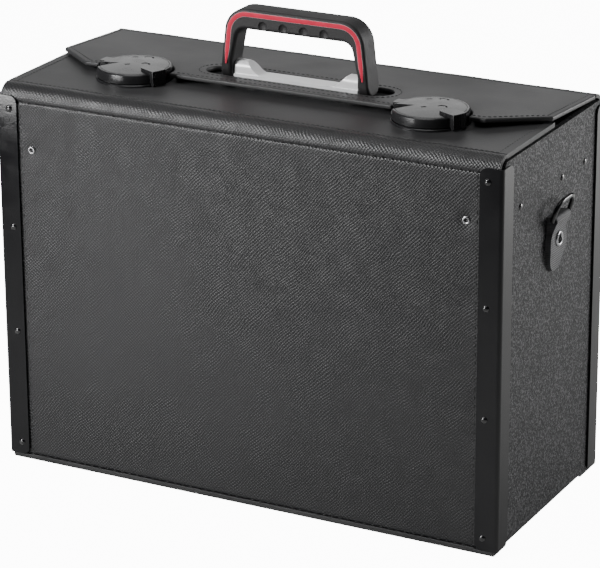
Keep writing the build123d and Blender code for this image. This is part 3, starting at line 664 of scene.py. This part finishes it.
def stitch_tree():
    inputs = (
        ("NodeSocketFloat", "Pitch", coarse_stitch[0]),
        ("NodeSocketFloat", "Stitch length", coarse_stitch[1]),
        ("NodeSocketFloat", "Thread radius", coarse_stitch[2]),
        ("NodeSocketMaterial", "Finish", None),
    )
    tree, entry, leave = new_tree("stitches", inputs)
    line = put(tree, "GeometryNodeMeshToCurve", Mesh=entry.outputs["Geometry"])
    pitch = entry.outputs["Pitch"]
    places = put(tree, "GeometryNodeCurveToPoints", {"mode": "LENGTH"}, Curve=line.outputs[0], Length=pitch)
    thread = put(tree, "GeometryNodeMeshIcoSphere", Radius=1.0, Subdivisions=2)
    half = reckon(tree, "MULTIPLY", entry.outputs["Stitch length"], 0.5)
    radius = entry.outputs["Thread radius"]
    size = put(tree, "ShaderNodeCombineXYZ", X=radius, Y=radius, Z=half).outputs[0]
    points, turns = places.outputs["Points"], places.outputs["Rotation"]
    end_tree(tree, entry, leave, copies_at(tree, points, thread.outputs["Mesh"], size, turns))
    return tree


def thread_finish():
    finish, tree, shader = begin_finish("waxed_thread", (0.006, 0.006, 0.006), 0.5)
    twist = put(tree, "ShaderNodeTexWave", Vector=object_place(tree), Scale=600.0, Distortion=1.0)
    tint(tree, shader, twist.outputs["Fac"], (0.004, 0.004, 0.004), (0.012, 0.012, 0.012), 0.2, 0.8)
    return finish


def seam(name, lines, body, sizes):
    """Stitches along open lines of points; sizes are the pitch, stitch length and thread radius."""
    points, edges = [], []
    for line in lines:
        start = len(points)
        points += line
        edges += [(start + i, start + i + 1) for i in range(len(line) - 1)]
    values = dict(zip(("Pitch", "Stitch length", "Thread radius"), sizes))
    return grown(name, points, edges, stitches, body, waxed_thread, values)


def on_lid(x, y):
    """A point on the lid's top face."""
    back = lid_hinge_y - y
    return (x, y, lid_hinge_z + back * math.tan(lid_slope) + 0.00015)


stitches = stitch_tree()
waxed_thread = thread_finish()
board_y, board_top, board_foot = 0.1015, 0.3212, 0.0062
upright_x = 0.2073
seam_break = 0.004
for end, sign in (("front", -1), ("rear", 1)):
    y = sign * (board_y - 0.0002)
    lines = [[(-upright_x, y, board_top), (upright_x, y, board_top)]]
    lines.append([(-upright_x, y, board_foot), (upright_x, y, board_foot)])
    low, high = board_foot + seam_break, board_top - seam_break
    lines += [[(x, y, low), (x, y, high)] for x in (-upright_x, upright_x)]
    seam("board_stitches_" + end, lines, "case_body", coarse_stitch)

flap_z = 0.33455
flap_seam_y, flap_seam_half, flap_seam_side = -0.0875, 0.2175, 0.2185
flap_corner_x, flap_corner_y = 0.015, 0.0145
flap_lines = [[(-flap_seam_half, flap_seam_y, flap_z), (flap_seam_half, flap_seam_y, flap_z)]]
for sign in (-1, 1):
    x = sign * flap_seam_side
    corner = (x - sign * flap_corner_x, flap_corner_y, flap_z)
    flap_lines.append([(x, flap_seam_y + seam_break, flap_z), (x, 0.0, flap_z), corner])
seam("flap_stitches", flap_lines, "case_body", fine_stitch)

front_stitch_y, side_stitch_x = -0.0308, 0.2210
notch_outer_x, notch_inner_x, chamfer_x = 0.1715, 0.0965, 0.1817
chamfer_end_y, rear_stitch_y = 0.0025, 0.0825
flank = [
    (notch_outer_x, front_stitch_y),
    (chamfer_x, front_stitch_y),
    (side_stitch_x, chamfer_end_y),
    (side_stitch_x, rear_stitch_y),
]
lid_lines = [[on_lid(sign * x, y) for x, y in flank] for sign in (-1, 1)]
lid_lines.append([on_lid(-notch_inner_x, front_stitch_y), on_lid(notch_inner_x, front_stitch_y)])
ring = []
ring_straight, ring_reach, ring_steps = 0.070, 0.0212, 48
for i in range(ring_steps + 1):
    turn = 2 * math.pi * i / ring_steps
    middle = ring_straight if math.cos(turn) >= 0 else -ring_straight
    ring.append(on_lid(middle + ring_reach * math.cos(turn), ring_reach * math.sin(turn)))
lid_lines.append(ring)
seam("lid_stitches", lid_lines, "lid", fine_stitch)

# Small hollow eyelets of dark nickelled metal vent the front board. Larger ones hold the strap
# tabs on the side boards.
eyelet_segments, flange_steps = 40, 12
vent_flange, vent_hole, vent_rise, vent_depth = 0.0034, 0.0015, 0.0009, 0.004
vent_seat_y = -0.1009


def lathe(profile, segments):
    """Rings of a turned shape about +Z: vertices and faces from a closed profile of radius and height."""
    vertices, faces = [], []
    for radius, height in profile:
        for i in range(segments):
            turn = 2 * math.pi * i / segments
            vertices.append(Vector((radius * math.cos(turn), radius * math.sin(turn), height)))
    rings = len(profile)
    for k in range(rings):
        for i in range(segments):
            j = (i + 1) % segments
            a, b = k * segments, ((k + 1) % rings) * segments
            faces.append((a + i, a + j, b + j, b + i))
    return vertices, faces


def eyelet_profile(flange, hole, rise, depth):
    """A rolled flange round a tube, as a closed loop of radius and height."""
    middle, half = (flange + hole) / 2, (flange - hole) / 2
    loop = []
    for i in range(flange_steps + 1):
        turn = math.pi * i / flange_steps
        loop.append((middle + half * math.cos(turn), rise * math.sin(turn)))
    loop += [(hole, -depth), (hole + 0.0004, -depth), (hole + 0.0005, -0.0003)]
    return loop


def placed(vertices, matrix):
    return [matrix @ v for v in vertices]


eyelet_finish = drawn_metal("dark_nickel", (0.40, 0.40, 0.41), 0.24, (1.0, 1.0, 1.0))
for side, sign in (("left", -1), ("right", 1)):
    profile = eyelet_profile(vent_flange, vent_hole, vent_rise, vent_depth)
    ring_vertices, ring_faces = lathe(profile, eyelet_segments)
    seat = Matrix.Translation((sign * eyelet_x, vent_seat_y, eyelet_z))
    spot = seat @ Matrix.Rotation(math.pi / 2, 4, "X")
    eye = mesh_from("front_eyelet_" + side, placed(ring_vertices, spot), ring_faces, eyelet_finish, 60.0)
    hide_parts("front_eyelets")
    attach(eye, "case_body")

# The handle is two moulded shells with a soft black skin, screwed together from the rear, and it
# turns on two steel pins. A crimson strip with thin pale edges is let into each face.


def soft_black_skin():
    finish, tree, shader = begin_finish("soft_black_skin", (0.014, 0.0135, 0.014), 0.6, specular=0.4)
    place = object_place(tree)
    fine = speckle(tree, place, 700.0, 3.0)
    worn = speckle(tree, place, 45.0, 4.0)
    tint(tree, shader, worn, (0.010, 0.0095, 0.010), (0.022, 0.021, 0.022))
    vary_roughness(tree, shader, worn, 0.52, 0.68)
    raise_by(tree, shader, fine, 0.00025)
    return finish


handle_skin = soft_black_skin()
for end in ("front", "rear"):
    dress_node(f"handle_{end}_shell", handle_skin)
pin_finish = drawn_metal("turned_steel", (0.55, 0.55, 0.56), 0.3, (0.05, 1.0, 1.0))
for node in ("handle_screws", "pivot_pin_left", "pivot_pin_right"):
    dress_node(node, pin_finish)

strip_inset, strip_half_width, strip_deep, strip_proud = 0.0043, 0.0021, 0.0009, 0.00012
strip_corner = 0.021 - strip_inset
strip_top, strip_foot, strip_top_x = 0.398 - strip_inset, 0.3497, 0.062 - strip_inset
strip_lean = 0.1213
strip_face_y = 0.01075
strip_taper, strip_tip_share = 0.012, 0.35
crown_edge = 0.75
leg_steps, bend_steps = 8, 16


def strip_route():
    """The middle of the strip from the right foot over the top to the left foot, as x and z."""
    tilt = math.atan(strip_lean)
    centre_z = strip_top - strip_corner
    centre_x = strip_top_x + strip_corner * strip_lean - strip_corner / math.cos(tilt)
    bend = [tilt + (math.pi / 2 - tilt) * i / bend_steps for i in range(bend_steps + 1)]
    arc = [(centre_x + strip_corner * math.cos(a), centre_z + strip_corner * math.sin(a)) for a in bend]
    foot_x = strip_top_x + (strip_top - strip_foot) * strip_lean
    rise_x, rise_z = arc[0][0] - foot_x, arc[0][1] - strip_foot
    leg = [(foot_x + rise_x * i / leg_steps, strip_foot + rise_z * i / leg_steps) for i in range(leg_steps)]
    half = leg + arc
    return half + [(-x, z) for x, z in reversed(half)]


def pale_edged_strip(name, node, side, finish):
    """The strip as a closed ribbon with a low crown, and its place across it in its surface map."""
    route = [Vector((x, 0.0, z)) for x, z in strip_route()]
    crown = [(-crown_edge, strip_proud), (0.0, strip_proud * 2), (crown_edge, strip_proud)]
    section = [(-1.0, -strip_deep), (-1.0, 0.0), *crown, (1.0, 0.0), (1.0, -strip_deep)]
    lengths = [0.0]
    for first, second in zip(route, route[1:]):
        lengths.append(lengths[-1] + (second - first).length)
    vertices, faces, marks = [], [], []
    for i, spot in enumerate(route):
        ahead = (route[min(i + 1, len(route) - 1)] - route[max(i - 1, 0)]).normalized()
        sideways = Vector((ahead.z, 0.0, -ahead.x))
        from_end = min(lengths[i], lengths[-1] - lengths[i])
        full = min(1.0, from_end / strip_taper)
        width = strip_half_width * (strip_tip_share + (1.0 - strip_tip_share) * full)
        for part, height in section:
            out = Vector((0.0, side * (strip_face_y + height), 0.0))
            vertices.append(spot + sideways * (width * part) + out)
            marks.append((part, lengths[i]))
    count = len(section)
    for i in range(len(route) - 1):
        for k in range(count):
            j = (k + 1) % count
            faces.append((i * count + k, i * count + j, (i + 1) * count + j, (i + 1) * count + k))
    faces.append(tuple(range(count)))
    faces.append(tuple(range((len(route) - 1) * count, len(route) * count)))
    strip = mesh_from(name, vertices, faces, finish, 50.0)
    layer = strip.data.uv_layers.new(name="surface")
    for loop in strip.data.loops:
        layer.data[loop.index].uv = marks[loop.vertex_index]
    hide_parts(node)
    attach(strip, "handle")


def crimson_rubber():
    finish, tree, shader = begin_finish("crimson_rubber", (0.55, 0.008, 0.040), 0.55, specular=0.25)
    surface = put(tree, "ShaderNodeUVMap", {"uv_map": "surface"}).outputs["UV"]
    part = put(tree, "ShaderNodeSeparateXYZ", Vector=surface).outputs["X"]
    edge = reckon(tree, "ABSOLUTE", part)
    cloudy = speckle(tree, object_place(tree), 120.0, 3.0)
    red = shades(tree, cloudy, 0.3, (0.50, 0.006, 0.036), 0.7, (0.62, 0.010, 0.052))
    pale = put(tree, "ShaderNodeMapRange", Value=edge, From_Min=0.86, From_Max=0.92)
    mixed = put(tree, "ShaderNodeMix", {"data_type": "RGBA"})
    tree.links.new(pale.outputs[0], mixed.inputs[0])
    tree.links.new(red, mixed.inputs[6])
    mixed.inputs[7].default_value = (0.42, 0.36, 0.37, 1.0)
    tree.links.new(mixed.outputs[2], shader.inputs["Base Color"])
    return finish


strip_finish = crimson_rubber()
for end, side in (("front", -1), ("rear", 1)):
    pale_edged_strip("crimson_strip_" + end, "handle_stripe_" + end, side, strip_finish)

# The handle base is cast and polished light metal: a low bar that sweeps up to an ear at each end.
# Its foot plate is lacquered black.


def polished_casting():
    finish, tree, shader = begin_finish("polished_casting", (0.88, 0.88, 0.89), 0.34, metallic=0.15)
    place = object_place(tree)
    cloudy = speckle(tree, place, 90.0, 4.0)
    tint(tree, shader, cloudy, (0.88, 0.88, 0.89), (0.97, 0.97, 0.98))
    vary_roughness(tree, shader, cloudy, 0.30, 0.42)
    raise_by(tree, shader, speckle(tree, place, 1200.0), 0.00002)
    return finish


plate_top = 0.3370
cast_edge = 0.0005
cast_metal = polished_casting()
casting = dressed_copy("handle_base", "cast_handle_base", cast_edge, cast_metal, "case_body")
casting.data.materials.append(lacquered_profile())
for face in casting.data.polygons:
    if face.center.z < plate_top:
        face.material_index = 1

# The screws of the handle base and the latches are zinc-plated steel. So are the plates, clips and
# washers that they pull against inside the flap.
plated_steel = drawn_metal("zinc_plated_steel", (0.52, 0.52, 0.53), 0.38, (1.0, 1.0, 0.2))
for node in ("base_screws", "backing_plate"):
    dress_node(node, plated_steel)
for side in ("left", "right"):
    for part in ("screws", "backplate", "clip", "washer"):
        dress_node(f"latch_{part}_{side}", plated_steel)

# Each latch is a turning knob of satin black plastic on a round flange. Its thumb block is ribbed
# at the rim, and its lug locks over the lid.
knob_edge = 0.0003


def satin_black():
    finish, tree, shader = begin_finish("satin_black", (0.016, 0.016, 0.017), 0.3)
    place = object_place(tree)
    fine = speckle(tree, place, 1100.0, 2.0)
    worn = speckle(tree, place, 70.0, 4.0)
    tint(tree, shader, worn, (0.012, 0.012, 0.013), (0.022, 0.022, 0.023))
    vary_roughness(tree, shader, worn, 0.16, 0.28)
    raise_by(tree, shader, fine, 0.00003)
    return finish


latch_finish = satin_black()
for side in ("left", "right"):
    node, name, body = "latch_knob_" + side, "turning_knob_" + side, "latch_" + side
    dressed_copy(node, name, knob_edge, latch_finish, body, 2, 30.0)
    dress_node("latch_base_" + side, latch_finish)

# A strap ring of glossy black wire hangs in a folded tab on each side. The tab is stiff leather,
# ribbed on its leaf and held by a hollow rivet.
rib_pitch, rib_height = 0.0013, 0.00018
tab_fold = 0.0006
tab_eyelet_x, tab_eyelet_z = 0.2334, 0.240
tab_flange, tab_hole, tab_rise, tab_depth = 0.0065, 0.0038, 0.0015, 0.0100


def glossy_wire():
    finish, tree, shader = begin_finish("glossy_wire", (0.010, 0.010, 0.011), 0.15)
    place = object_place(tree)
    flow = speckle(tree, place, 300.0, 3.0)
    vary_roughness(tree, shader, flow, 0.1, 0.24, 0.0, 1.0)
    tint(tree, shader, flow, (0.007, 0.007, 0.008), (0.015, 0.015, 0.016))
    return finish


def ribbed_leather():
    finish, tree, shader = begin_finish("ribbed_leather", (0.06, 0.06, 0.063), 0.45)
    place = object_place(tree)
    turned = put(tree, "ShaderNodeMapping", Vector=place, Rotation=(math.radians(28.0), 0.0, 0.0))
    along = put(tree, "ShaderNodeSeparateXYZ", Vector=turned.outputs[0]).outputs["Z"]
    ribs = reckon(tree, "SINE", reckon(tree, "MULTIPLY", along, 2 * math.pi / rib_pitch))
    worn = speckle(tree, place, 80.0, 4.0)
    tint(tree, shader, worn, (0.045, 0.045, 0.048), (0.085, 0.085, 0.09))
    raise_by(tree, shader, ribs, rib_height)
    return finish


wire_finish = glossy_wire()
tab_finish = ribbed_leather()
for side, sign in (("left", -1), ("right", 1)):
    dress_node("strap_ring_" + side, wire_finish)
    node = "strap_tab_" + side
    dressed_copy(node, "ribbed_tab_" + side, tab_fold, tab_finish, "case_body", 3)
    profile = eyelet_profile(tab_flange, tab_hole, tab_rise, tab_depth)
    ring_vertices, ring_faces = lathe(profile, eyelet_segments)
    turn = Matrix.Rotation(math.pi / 2 * sign, 4, "Y")
    spot = Matrix.Translation((sign * tab_eyelet_x, 0.0, tab_eyelet_z)) @ turn
    eye = mesh_from("tab_eyelet_" + side, placed(ring_vertices, spot), ring_faces, eyelet_finish, 60.0)
    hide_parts("tab_eyelets")
    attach(eye, "case_body")
